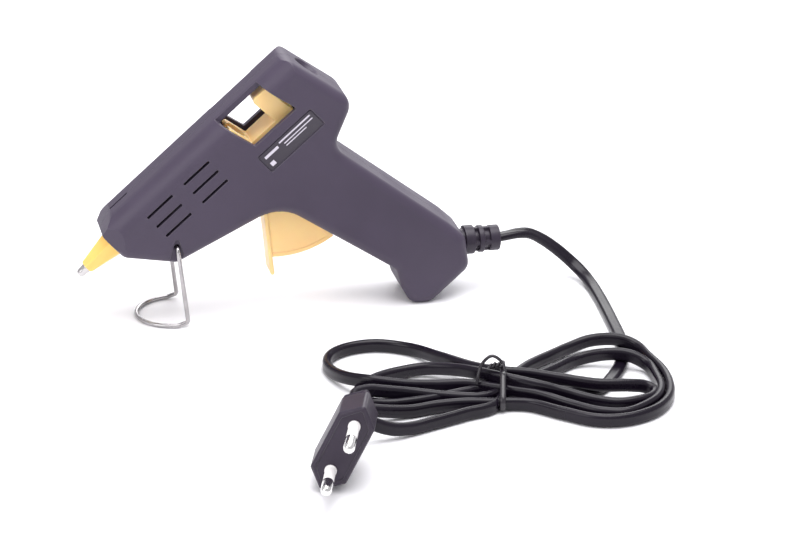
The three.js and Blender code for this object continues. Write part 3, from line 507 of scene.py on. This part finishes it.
LEAD_ROUTE = [
    (85.3, 0, 21), (89.2, 0.1, 21.4), (93.6, 0.8, 21.6), (98.6, 2, 20.6), (105, 3, 16.8),
    (111.6, 2.6, 11.6), (116.8, 0.4, 6.9), (120.2, -5, 3.7), (121.4, -12.5, 2.1), (121.2, -22, 1.7),
    (120, -36, 1.7), (118.6, -49, 1.7), (117, -62.2, 1.7),
]
HANK_ROUTE = [
    # under the right-hand loops and into the tie, turning on edge
    (114.8, -72, 1.7), (112.2, -80, 1.7), (108.6, -87.5, 1.7), (103, -95.8, 1.7), (97, -103, 2),
    (90, -106.5, 2.4), (82, -104.8, 2.6), (74, -101, LOW), (66.5, -97.8, LOW), (58, -96.6, LOW),
    # second left loop, anticlockwise round its end
    (46, -98.6, LOW), (34, -101.2, LOW), (23, -102.6, LOW), (13.5, -102, LOW), (7, -98.5, LOW),
    (5.2, -92.5, LOW), (8.4, -86, LOW), (16, -80, LOW), (25.5, -76.7, LOW), (34.8, -76.8, 3.3),
    (44.6, -83, 5), (52.1, -92.8, 7.2), (59.6, -100.7, HIGH),
    # inner right loop
    (68.1, -106.2, 7.2), (79, -109.8, 4.6), (88.7, -115.8, 3.2), (97.4, -119.4, LOW),
    (105.6, -119.2, LOW), (111.8, -116.6, LOW), (113.8, -112.8, 2.9), (111.4, -110.2, 3.8),
    (105.2, -110.4, 5.2), (93.5, -109.2, 6), (80.8, -102.8, 6.4), (69.1, -97.4, 7.2),
    (59.1, -94.7, HIGH),
    # large left loop
    (51.7, -87.8, 7), (42.5, -71.5, 4.6), (34.2, -57.6, LOW), (22.1, -51.4, LOW),
    (10.9, -52.2, LOW), (3.3, -57, LOW), (0.1, -63.8, LOW), (0.7, -72.2, 3.2), (4.4, -82, 5),
    (11, -89, 6.4), (23.8, -92.4, 5), (35, -93.6, 4.2), (46.5, -95.4, 4.2), (55.5, -100.6, 4.2),
    (62, -104.6, 4.2),
    # middle right loop
    (69.3, -109.2, 4.2), (79, -117, 3), (88.5, -124.8, LOW), (97.6, -127.6, LOW),
    (106.8, -123.6, LOW), (113.4, -118, LOW), (117.2, -110.6, LOW), (118.6, -101, LOW),
    (118.2, -91.5, 3.4), (112.6, -86.9, 5.6), (104.7, -83.3, 5.4), (93.9, -80.8, 3), (81, -88, LOW),
    (70, -94.2, LOW), (60, -100.4, LOW),
    # small left loop, its end on top of the second one
    (50, -104.2, LOW), (38, -101.8, 3), (26, -99.2, 4.4), (15.6, -98.6, 6.2), (7.6, -98.8, 7.6),
    (2, -101.6, 7.6), (1.4, -106, 6.6), (5.8, -109, 5.2), (13.1, -109.4, 3.8), (22.1, -108.8, LOW),
    (31.7, -107.4, LOW), (43.1, -107.6, LOW), (51.6, -109.6, LOW), (58.5, -110.8, LOW),
    # outer right loop
    (65.5, -113, LOW), (75, -121.6, LOW), (86, -130.2, LOW), (97, -131.8, LOW),
    (108.6, -127.8, LOW), (115.6, -121.4, LOW), (119.4, -114.8, LOW), (121.9, -105.5, LOW),
    (122.6, -95.5, LOW), (120.9, -84.5, 3), (118.6, -77, 4.4), (113, -72.8, 5.8),
    (103.2, -68.7, 4.6), (94, -70.2, 3), (86, -74.4, LOW), (74, -82, LOW), (65, -91, LOW),
    (60.5, -99, LOW), (56, -107.4, LOW), (50.8, -112.6, LOW),
]
TAIL_ROUTE = [
    (41, -115.2, 2.7), (37, -116.6, 2.7), (32, -118.2, 2.7), (26, -120.1, 2.7), (19, -122.3, 2.8),
    (11, -124.2, 4.2), (4.6, -124.9, 7), (-0.6, -125.2, 10.4), (-4, -127, 13.2),
    (-5.9, -130.2, 14.6), (-7.05, -133.7, 15.1),
]


def flex_section(steps=7):
    """Flat flex: two round edges and a faint groove between its cores on both faces."""
    r = FLEX_THICK / 2
    flat = FLEX_WIDTH / 2 - r
    groove_depth, groove_half = 0.06, 0.35
    points = []
    for side, start in ((1, -math.pi / 2), (-1, math.pi / 2)):
        for k in range(steps + 1):
            angle = start + math.pi * k / steps
            points.append((side * flat + r * math.cos(angle), r * math.sin(angle)))
        groove = (r - groove_depth) * side
        points.append((side * groove_half, groove))
        points.append((-side * groove_half, groove))
    return points


def make_flex():
    """The whole flex as one sweep, and its centre line in metres."""
    spacing = 1.5
    line = smooth_line(LEAD_ROUTE + HANK_ROUTE + TAIL_ROUTE, spacing)
    total = spacing * (len(line) - 1)

    def roll(share):
        """Tips to the front in the arch, flat from 48 mm, turns on edge from 138 to 174 mm."""
        reach = share * total
        tipped = math.sin(math.pi * min(1, max(0, (reach - 4) / 44)))
        turned = min(1, max(0, (reach - 138) / 36))
        return math.pi / 2 * turned * turned * (3 - 2 * turned) - 0.75 * tipped

    flex = sweep("flex", line, flex_section(), roll)
    polish(flex, "flex", STANDING, "cord_vinyl", "housing", ["cord_lead", "cord_hank", "cord_tail"],
           crease=60, weighted=False)
    return flex, [p * MM for p in line]


def make_tie():
    """Coated wire tie: a strap slanting round the hank, and a twisted arch on top of it."""
    def on(y, z):
        return Vector((59 + 0.268 * (y + 99), y, z))

    outline = rounded([(-88.5, 0.7, 2), (-90.5, 10.9, 3), (-103.5, 11.1, 3), (-112.9, 5.4, 3),
                       (-112.9, 0.7, 2)], 12)
    loop = [on(y, z) for y, z in outline]
    line = resample(loop + [loop[0]], 1.2)[:-1]
    strap_width, strap_thick = 2.2, 1.1
    angles = [2 * math.pi * k / 16 for k in range(16)]
    strap = [(strap_width / 2 * math.cos(a), strap_thick / 2 * math.sin(a)) for a in angles]
    across = Vector((0.966, -0.259, 0))
    rings = []
    for i, here in enumerate(line):
        along = (line[(i + 1) % len(line)] - line[i - 1]).normalized()
        up = across.cross(along).normalized()
        rings.append([here + a * across + b * up for a, b in strap])
    tie = loft("tie", rings, closed=True)
    arch = smooth_line([(59.4, -101, 10.8), (58.9, -98.5, 13.6), (55.6, -96.5, 15.8),
                        (52, -97, 13.8), (50, -98.6, 10.5), (49, -99.8, 6.5)], 0.6)
    twists = [transported("arch", arch, 0.62, 12)]
    for phase in (0, math.pi):
        coil = []
        for k in range(40):
            share = k / 39
            angle = phase + 4 * math.pi * share
            coil.append(Vector((59.5 - 5.6 * share, -99 + 1.2 * share + 0.62 * math.cos(angle),
                                11.8 + 1.1 * math.sin(math.pi * share) + 0.62 * math.sin(angle))))
        twists.append(transported("twist", coil, 0.52, 10))
    join(tie, twists)
    return polish(tie, "twist_tie", STANDING, "tie_plastic", "housing", ["cord_tie"], crease=50,
                  weighted=False)


def join(base, others):
    """Adds the meshes of others to base without cutting them into it."""
    work = bmesh.new()
    work.from_mesh(base.data)
    for other in others:
        work.from_mesh(other.data)
        bpy.data.objects.remove(other)
    work.to_mesh(base.data)
    work.free()
    return base


# ---- plug ------------------------------------------------------------------------------
PLUG_PLACE = (STANDING @ Matrix.Translation((-15.4, -159.3, 17.05))
              @ Matrix.Rotation(math.radians(-108.1), 4, "Z")
              @ Matrix.Rotation(math.radians(-4), 4, "Y")
              @ Matrix.Rotation(math.radians(-25.2), 4, "X"))
PIN_SPACING = 18.6


def plug_ring(x, length, width, soften=1.3):
    """Six-sided section of the plug with softened corners."""
    l, w = length / 2, width / 2
    shoulder = l * (1 - 0.357)
    corners = [(0, l), (w, shoulder), (w, -shoulder), (0, -l), (-w, -shoulder), (-w, shoulder)]
    return [(x, y, z) for y, z in rounded([(y, z, soften) for y, z in corners], 15)]


def make_plug():
    """Flat plug: hexagonal face block, a groove, and a tapered grip with finger ribs."""
    stations = [(0, 33.9, 12.3), (-0.25, 34.7, 13.1), (-0.7, 35.3, 13.7), (-14.3, 35.3, 13.7),
                (-14.9, 34.7, 13.2), (-15.2, 33.2, 12), (-16.2, 32.2, 11.4), (-16.8, 32.6, 12),
                (-17.1, 31.6, 12.4)]
    for k in range(4):
        x = -18 - 2.1 * k
        full = (33.6, 31.6, 27.4, 20.6)[k]
        wide = 12.6 - 0.9 * k
        stations += [(x, full, wide), (x - 1.2, full - 1.2, wide - 0.4),
                     (x - 1.35, full - 2.7, wide - 1.1), (x - 1.9, full - 3.2, wide - 1.2)]
    stations += [(-26, 13, 8.4), (-26.5, 10.4, 7.4)]
    body = loft("plug", [plug_ring(x, l, w, 1.3 if w > 9 else 1.1) for x, l, w in stations])
    rim = loft("rim", [plug_ring(x, 31.6, 10.4, 1.0) for x in (0.5, -0.35)])
    combine(body, [rim], "DIFFERENCE")
    polish(body, "plug", PLUG_PLACE, "plug_vinyl", "housing", ["plug_body"], crease=26)
    made = [body]
    for i, side in enumerate((-1, 1)):
        place = (PLUG_PLACE @ Matrix.Translation((0, 0, side * PIN_SPACING / 2))
                 @ Matrix.Rotation(side * 0.029, 4, "Y"))
        pin = lathe("pin", [(-0.6, 0), (-0.6, 1.4), (10.3, 1.4), (10.35, 1.85), (10.6, 2),
                            (17.2, 2), (18.2, 1.7), (18.8, 1.1), (19, 0.5), (19, 0)])
        polish(pin, f"pin_{i + 1}", place, "pin_nickel", "housing", [f"plug_pin_{i + 1}"])
        cover = lathe("cover", [(-0.5, 1.45), (-0.5, 2.15), (0.4, 2.15), (0.6, 1.92), (10.0, 1.92),
                                (10.2, 1.7), (10.2, 1.45)])
        polish(cover, f"pin_cover_{i + 1}", place, "pin_sleeve_plastic", "housing",
               [f"pin_sleeve_{i + 1}"])
        made += [pin, cover]
    return made


# ---- housing ---------------------------------------------------------------------------
OUTLINE = [
    (NOSE_FACE, BARREL_TOP, 4.6), (117, BARREL_TOP, 5), (124.6, -20.2, 7), (106, -29.3, 7),
    (117.6, -87.6, 7), (118.5, -96.6, 5), (111.4, -107.5, 5), (90.4, -107.6, 7),
    (84.2, -102.1, 5), (86, -94.2, 5), (89.8, -87, 7), (75.2, -32.1, 16),
    (31.2, -20.2, 4.2), (NOSE_FACE, -3.7, 4.2),
]
NOSE_PLANES = [                      # a point of each bevel, then its inward normal
    ((26.7, 0, 11.4), (0.34, 0, -0.94)),
    ((27.6, -12.7, 8.5), (0.444, 0.8445, -0.3)),
    ((27.6, 12.7, 8.5), (0.444, -0.8445, -0.3)),
]
SCREWS = [(45, -16.6), (63, -20.6), (115.2, -17.2), (106, -66), (95, -97)]
STAND = (35.9, -14.5)
PIVOT = (85.3, -21.3)
TOP_ROUND = 8.5
PARTING = 0.26                       # gap between the two shells


def envelope(inset):
    """Barrel section with its large top roundings, carried along the barrel."""
    w, top, r = HALF - inset, BARREL_TOP - inset, TOP_ROUND - inset
    section = rounded([(-w, top, r), (w, top, r), (w, -130, 1), (-w, -130, 1)], 7)
    return loft("envelope", [[(x, y, z) for y, z in section] for x in (0, 140)])


def nose_cuts(inset):
    """What lies in front of the nose's bevels: one over the top and one down each side."""
    cuts = []
    for point, normal in NOSE_PLANES:
        inward = Vector(normal).normalized()
        cut = block((-40, -40, 0), (40, 40, 40))
        turn = (-inward).to_track_quat("Z", "Y").to_matrix().to_4x4()
        cut.data.transform(Matrix.Translation(Vector(point) + inward * inset) @ turn)
        cuts.append(cut)
    return cuts


def upright(made):
    """Turns a tool drawn in the standing frame into the barrel frame."""
    made.data.transform((Matrix.Translation(MUZZLE) @ Matrix.Rotation(-TILT, 4, "Y")).inverted())
    return made


def shell_cuts(side):
    """Every opening of one shell: window, vents, slot, pocket, bores, screws and label."""
    lean = 0.27 * (BARREL_TOP + 2 + 5.6)
    window = prism("window", rounded([
        (85.3, -5.6, 0.8), (106.9, -5.6, 0.8), (106.9 - lean, 13.4, 0.8), (85.3 - lean, 13.4, 0.8),
    ], 20), -HALF - 2, HALF + 2)
    combine(window, [block((70, -5.9, 6.4), (120, 5.9, 14.4))], "DIFFERENCE")
    cuts = [window]
    for start in (36.2, 55.4):
        for row in (2.8, -2.5, -7.9):
            slot = rounded([(start, row - 0.55, 0.4), (start + 13.2, row - 0.55, 0.4),
                            (start + 13.2, row + 0.55, 0.4), (start, row + 0.55, 0.4)], 30)
            y0, y1 = (8, HALF + 1) if side > 0 else (-HALF - 1, -8)
            cuts.append(prism("vent", slot, y0, y1))
    cuts.append(block((26.6, -0.75, 6), (35.8, 0.75, 13.4)))
    cuts.append(prism("slot", [(61.5, -22), (61.5, -44), (78, -61.5), (92, -61.5), (92, -52),
                               (84, -38), (84, -22)], -5.7, 5.7))
    c, n = math.cos(TILT), math.sin(TILT)
    pocket = rounded([(STAND[0] + x * c + z * n, STAND[1] - x * n + z * c, r) for x, z, r in
                      ((-0.8, 3.2, 0.7), (-4.6, -12, 1), (4.6, -12, 1), (0.8, 3.2, 0.7))], 20)
    cuts.append(prism("pocket", pocket, -HALF - 1, -HALF + 0.9) if side < 0
                else prism("pocket", pocket, HALF - 0.9, HALF + 1))
    cuts += [
        lathe("nose", [(17.2, 0), (17.2, 5.9), (27, 5.9), (27, 0)]),
        lathe("chamber_room", [(18, 0), (18, 6.6), (64, 6.6), (64, 0)]),
        lathe("inlet", [(112, 0), (112, 4.7), (118.4, 4.7), (122, 6.9), (130, 6.9), (130, 0)]),
        block((31, -7.7, -14.6), (59.4, 7.7, -4)),
        bar_y(*STAND, 1.15, -HALF - 1, HALF + 1),
        bar_y(*PIVOT, 1.8, -9, 9),
        upright(lathe("relief_hole", [(64, 0), (64, 5), (80, 5), (80, 0)], z=21)),
        upright(block((-40, -30, -20), (160, 30, 0))),
    ]
    for x, z in SCREWS:
        cuts.append(bar_y(x, z, 1.6, -8.9, HALF + 1))
        cuts.append(bar_y(x, z, 2.8, 6.4, HALF + 1))
    if side < 0:
        label = rounded([(82.6, -18.2, 0.8), (110.6, -18.2, 0.8), (110.6, -9.4, 0.8),
                         (82.6, -9.4, 0.8)], 20)
        cuts.append(prism("label_recess", label, -HALF - 1, -HALF + 0.5))
    return cuts


def make_shell(side):
    """One moulded half: outer form, hollow, bosses and ribs, then every opening."""
    outline = rounded(OUTLINE, 8)

    def span(inner, outer):
        """Inner and outer distance from the parting plane, as y from low to high."""
        return (inner, outer) if side > 0 else (-outer, -inner)

    h0, h1 = span(PARTING / 2, HALF + 1)
    half = block((-10, h0, -150), (160, h1, 50))
    full = prism("full", outline, -HALF, HALF, rim=4, rings=7)
    combine(full, [envelope(0)], "INTERSECT")
    combine(full, nose_cuts(0), "DIFFERENCE")
    body = duplicate(full)
    hollow = prism("hollow", outline, -INNER, INNER, rim=2, inset=WALL, rings=3)
    combine(hollow, [envelope(WALL)], "INTERSECT")
    combine(hollow, nose_cuts(WALL), "DIFFERENCE")
    combine(body, [hollow], "DIFFERENCE")
    y0, y1 = span(0.0, INNER + 1)
    ribs = [block((s, y0, low), (s + 1.8, y1, BARREL_TOP - 1))
            for s, low in ((26, -12), (57, -12), (68, -8))]
    g0, g1 = span(6.8, INNER + 1)
    ribs.append(block((76, g0, -10.2), (109, g1, -8.5)))
    ribs += [bar_y(x, z, 4.2, y0, y1) for x, z in SCREWS]
    p0, p1 = span(5.6, INNER + 1)
    ribs.append(bar_y(*PIVOT, 3.6, p0, p1))
    for rib in ribs:
        combine(rib, [duplicate(full)], "INTERSECT")
        combine(body, [rib], "UNION")
    bpy.data.objects.remove(full)
    combine(body, [half], "INTERSECT")
    combine(body, shell_cuts(side), "DIFFERENCE")
    name = "left_shell" if side < 0 else "right_shell"
    node = "housing_left" if side < 0 else "housing_right"
    return polish(body, name, BARREL, "shell_plastic", "housing", [node], crease=24)


def make_label():
    """Blank rating plate with a raised border and a few plain light bars."""
    outline = rounded([(83.1, -17.7, 0.7), (110.1, -17.7, 0.7), (110.1, -9.9, 0.7),
                       (83.1, -9.9, 0.7)], 20)
    plate = prism("plate", outline, -12.55, -12.25, rim=0.08, rings=2)
    field = prism("field", inset_outline(outline, 0.55), -12.8, -12.49)
    combine(plate, [field], "DIFFERENCE")
    polish(plate, "rating_plate", BARREL, "label_film", "housing", ["rating_label"], crease=26)
    bars = [(92.6, 108.6, -11.5, -10.9), (94, 108.6, -13, -12.6), (94, 104.5, -14.2, -13.8),
            (84.6, 91.4, -12.6, -11.5), (84.6, 86.6, -16.6, -14.8)]
    for i, (x0, x1, z0, z1) in enumerate(bars):
        bar = block((x0, -12.6, z0), (x1, -12.46, z1))
        polish(bar, f"plate_bar_{i + 1}", BARREL, "label_film", "housing")
        bar.data.materials[0] = MATERIALS["label_print"]


# ---- nozzle ----------------------------------------------------------------------------

def make_sleeve():
    """Six-sided heat sleeve that tapers to the tip, with soft edges and a round mouth."""
    def hexagon(x, reach, soften):
        angles = [math.radians(60 * k) for k in range(6)]
        corners = [(reach * math.sin(a), reach * math.cos(a), soften) for a in angles]
        return [(x, y, z) for y, z in rounded(corners, 12)]
    rings = []
    front, back, front_reach, back_reach = 3.9, 17.6, 2.95, 5.75
    for x, draw in ((3.7, 0.55), (3.85, 0.22), (4.2, 0), (10, 0), (16, 0), (16.8, 0.05),
                    (17.6, 0.3)):
        reach = front_reach + (back_reach - front_reach) * (x - front) / (back - front) - draw
        rings.append(hexagon(x, reach, reach * 0.16))
    sleeve = loft("sleeve", rings)
    combine(sleeve, [lathe("collar", [(17.2, 0), (17.2, 5.4), (20.6, 5.4), (20.6, 0)])], "UNION")
    bore = lathe("bore", [(3, 0), (3, 2.15), (4.4, 2.15), (5, 2.6), (14, 3.3), (22, 3.95), (22, 0)])
    combine(sleeve, [bore], "DIFFERENCE")
    polish(sleeve, "heat_sleeve", BARREL, "sleeve_rubber", "housing", ["nozzle_sleeve"], crease=40)
    tip = lathe("tip", [
        (1.1, 0), (1.1, 0.7), (-0.5, 0.8), (-0.62, 0.95), (-0.55, 1.2), (0.1, 1.6), (1.0, 1.78),
        (2.6, 1.86), (2.9, 2.0), (4.4, 2.05), (14, 3), (20, 3), (20, 0)])
    polish(tip, "metal_tip", BARREL, "tip_metal", "housing", ["nozzle_tip"], crease=50)


# ---- trigger and carriage --------------------------------------------------------------

def make_trigger():
    """Finger lever: curved plate, web with a rim, hub and the arm that drives the carriage."""
    def front(z):
        """Front face of the finger plate, which leans forward towards its top."""
        return -2.9 - 0.104 * (z + 49.3)

    def arc(r, a0, a1, steps=30):
        angles = [math.radians(a0 + (a1 - a0) * k / steps) for k in range(steps + 1)]
        return [(r * math.cos(a), r * math.sin(a)) for a in angles]

    def arm_at(x, z):
        """Point of the arm, drawn in the barrel frame, turned into the standing frame."""
        c, n = math.cos(TILT), math.sin(TILT)
        return (x * c - z * n, x * n + z * c)

    plate = rounded([(front(-12) + 0.1, -12, 0.5), (front(-46), -46, 0.75),
                     (front(-46) + 1.6, -46, 0.75), (front(-12) + 1.6, -12, 0.5)], 15)
    body = prism("plate", plate, -5.1, 5.1, rim=0.5, rings=4)
    web = [(-1.5, -3), (front(-14) + 1, -14)] + arc(38.3, -95.2, -55) + [(17.5, -20), (3, -3)]
    lower = prism("web", web, -4.35, 4.35, rim=0.3, rings=3)
    rim = arc(38.5, -95.4, -55) + arc(36.9, -55, -95.2)
    band = prism("rim", rim, -4.7, 4.7, rim=0.3, rings=3)
    spine = prism("spine", [(2.6, -10), (14.4, -22), (21.6, -31.2), (19.9, -31.8), (12.6, -23),
                            (0.6, -10)], -4.6, 4.6)
    hub = bar_y(0, 0, 4.4, -5, 5)
    reach, half = 10.6, 2.6
    arm = prism("arm", [arm_at(-2, 1), arm_at(-1.5, reach), arm_at(1.5, reach), arm_at(2, 1)],
                -half, half)
    knob = bar_y(*arm_at(0, reach), 2.1, -half, half)
    combine(body, [lower, band, spine, hub, arm, knob], "UNION")
    combine(body, [bar_y(0, 0, 1.6, -14, 14)], "DIFFERENCE")
    place = BARREL @ Matrix.Translation((PIVOT[0], 0, PIVOT[1])) @ Matrix.Rotation(TILT, 4, "Y")
    return polish(body, "finger_trigger", place, "trigger_plastic", "trigger_lever", ["trigger"],
                  crease=30)


def make_carriage():
    """Slide under the stick: deck, rear grip and front wall."""
    w = 6.5
    body = block((80.4, -w, -8.2), (105, w, -5.9), "carriage")
    grip = rounded([(97, -7.7, 0.3), (105, -7.7, 0.3), (103.5, 6.6, 1.5), (95.8, 6.6, 1.5)], 15)
    front = rounded([(80.4, -7.7, 0.3), (85, -7.7, 0.3), (82.4, 4, 0.8), (80.4, 4, 0.8)], 15)
    combine(body, [prism("grip", grip, -w, w, rim=0.4, rings=3),
                   prism("front", front, -w, w, rim=0.4, rings=3)], "UNION")
    lugs = [block((s, -3.2, -12.2), (s + 2.1, 3.2, -7.7)) for s in (85.3 - 4.55, 85.3 + 2.45)]
    combine(body, lugs, "UNION")
    bore = lathe("bore", [(79, 0), (79, 4.1), (102, 4.1), (107, 5.4), (107, 0)])
    combine(body, [bore], "DIFFERENCE")
    return polish(body, "stick_carriage", BARREL, "trigger_plastic", "carriage", ["feed_carriage"],
                  crease=30)


def make_spring():
    """Return spring under the carriage's deck, a fixed coil on the housing."""
    turns, low, high = 5, 62.5, 80.05
    wide, tall, middle = 2.1, 1.6, -11.2
    coil = []
    for k in range(turns * 24 + 1):
        share = k / (turns * 24)
        angle = 2 * math.pi * turns * share
        coil.append(Vector((low + (high - low) * share, wide * math.cos(angle),
                            middle + tall * math.sin(angle))))
    spring = transported("spring", coil, 0.35, 10)
    polish(spring, "coil_spring", BARREL, "spring_steel", "housing", ["return_spring"], crease=60,
           weighted=False)
    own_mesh(spring)


# ---- stand and strain relief -----------------------------------------------------------

def corner_arc(before, corner, after, radius, steps=8):
    """Points of the arc that rounds a corner of a bent wire."""
    a = (before - corner).normalized()
    b = (after - corner).normalized()
    half = math.acos(max(-1, min(1, a.dot(b)))) / 2
    reach = radius / math.tan(half)
    centre = corner + (a + b).normalized() * (radius / math.sin(half))
    start = corner + a * reach - centre
    end = corner + b * reach - centre
    return [centre + start.slerp(end, k / steps) for k in range(steps + 1)]


def make_stand():
    """Bent wire: two pivot ends, two legs, and a half-round foot that lies on the table."""
    pivot_s, pivot_t = STAND
    x0 = MUZZLE.x + pivot_s * math.cos(TILT) - pivot_t * math.sin(TILT)
    z0 = MUZZLE.z + pivot_s * math.sin(TILT) + pivot_t * math.cos(TILT)
    y, kick, foot, toe = 14.1, 4.6, 0.85, 0.6
    corners = [Vector((x0, -8.6, z0)), Vector((x0, -y, z0)), Vector((x0 + kick, -y, foot)),
               Vector((x0 + toe, -y, foot))]
    near = [corners[0]] + corner_arc(*corners[:3], 1.4) + corner_arc(*corners[1:], 1.9)
    curve = [Vector((x0 + toe + (y + 1.2) * math.cos(a), y * math.sin(a), foot))
             for a in (-math.pi / 2 - math.pi * k / 48 for k in range(1, 48))]
    far = [Vector((p.x, -p.y, p.z)) for p in reversed(near)]
    line = resample(near + curve + far, 0.9)
    stand = transported("stand", line, 0.85, 20)
    return polish(stand, "bent_wire_stand", STANDING, "wire_steel", "stand", ["wire_stand"],
                  crease=50, weighted=False)


def make_relief():
    """Cable bush: collar, two rings and an end ring on a core, joined by four ribs."""
    core = lathe("core", [(62.4, 3), (62.4, 6.2), (64.4, 6.2), (64.4, 4.7), (70.3, 4.7),
                          (70.3, 3.8), (84, 3.6), (84.8, 3.4), (84.8, 3)], z=21)
    rings = []
    for x0, x1, r in ((70.3, 74.4, 5.9), (76.2, 78.4, 5.5), (80.8, 84.9, 5.2)):
        profile = [(x0, 3.2), (x0, r - 0.4), (x0 + 0.12, r - 0.12), (x0 + 0.4, r),
                   (x1 - 0.4, r), (x1 - 0.12, r - 0.12), (x1, r - 0.4), (x1, 3.2)]
        rings.append(lathe("ring", profile, z=21))
    ribs = [block((72, -5.0, 20.2), (84, -3.4, 21.8)), block((72, 3.4, 20.2), (84, 5.0, 21.8)),
            block((72, -0.8, 24.4), (84, 0.8, 26.0)), block((72, -0.8, 16.0), (84, 0.8, 17.6))]
    combine(core, rings + ribs, "UNION")
    return polish(core, "cable_bush", STANDING, "relief_vinyl", "housing", ["strain_relief"],
                  crease=30)


def finish_inner_nodes():
    """Gives each carried-over node the material of its slot."""
    slots = {entry["node"]: entry["material_slot"] for entry in frame["record"]["subparts"]}
    for name, node in NODES.items():
        node.data.materials.clear()
        node.data.materials.append(MATERIALS[slots[name]])


MATERIALS = make_materials()
make_camera()
make_studio()
finish_inner_nodes()
flex, flex_path = make_flex()
plug_pieces = make_plug()
tie = make_tie()
make_shell(-1)
make_shell(1)
make_label()
make_sleeve()
make_trigger()
make_carriage()
make_spring()
make_stand()
make_relief()
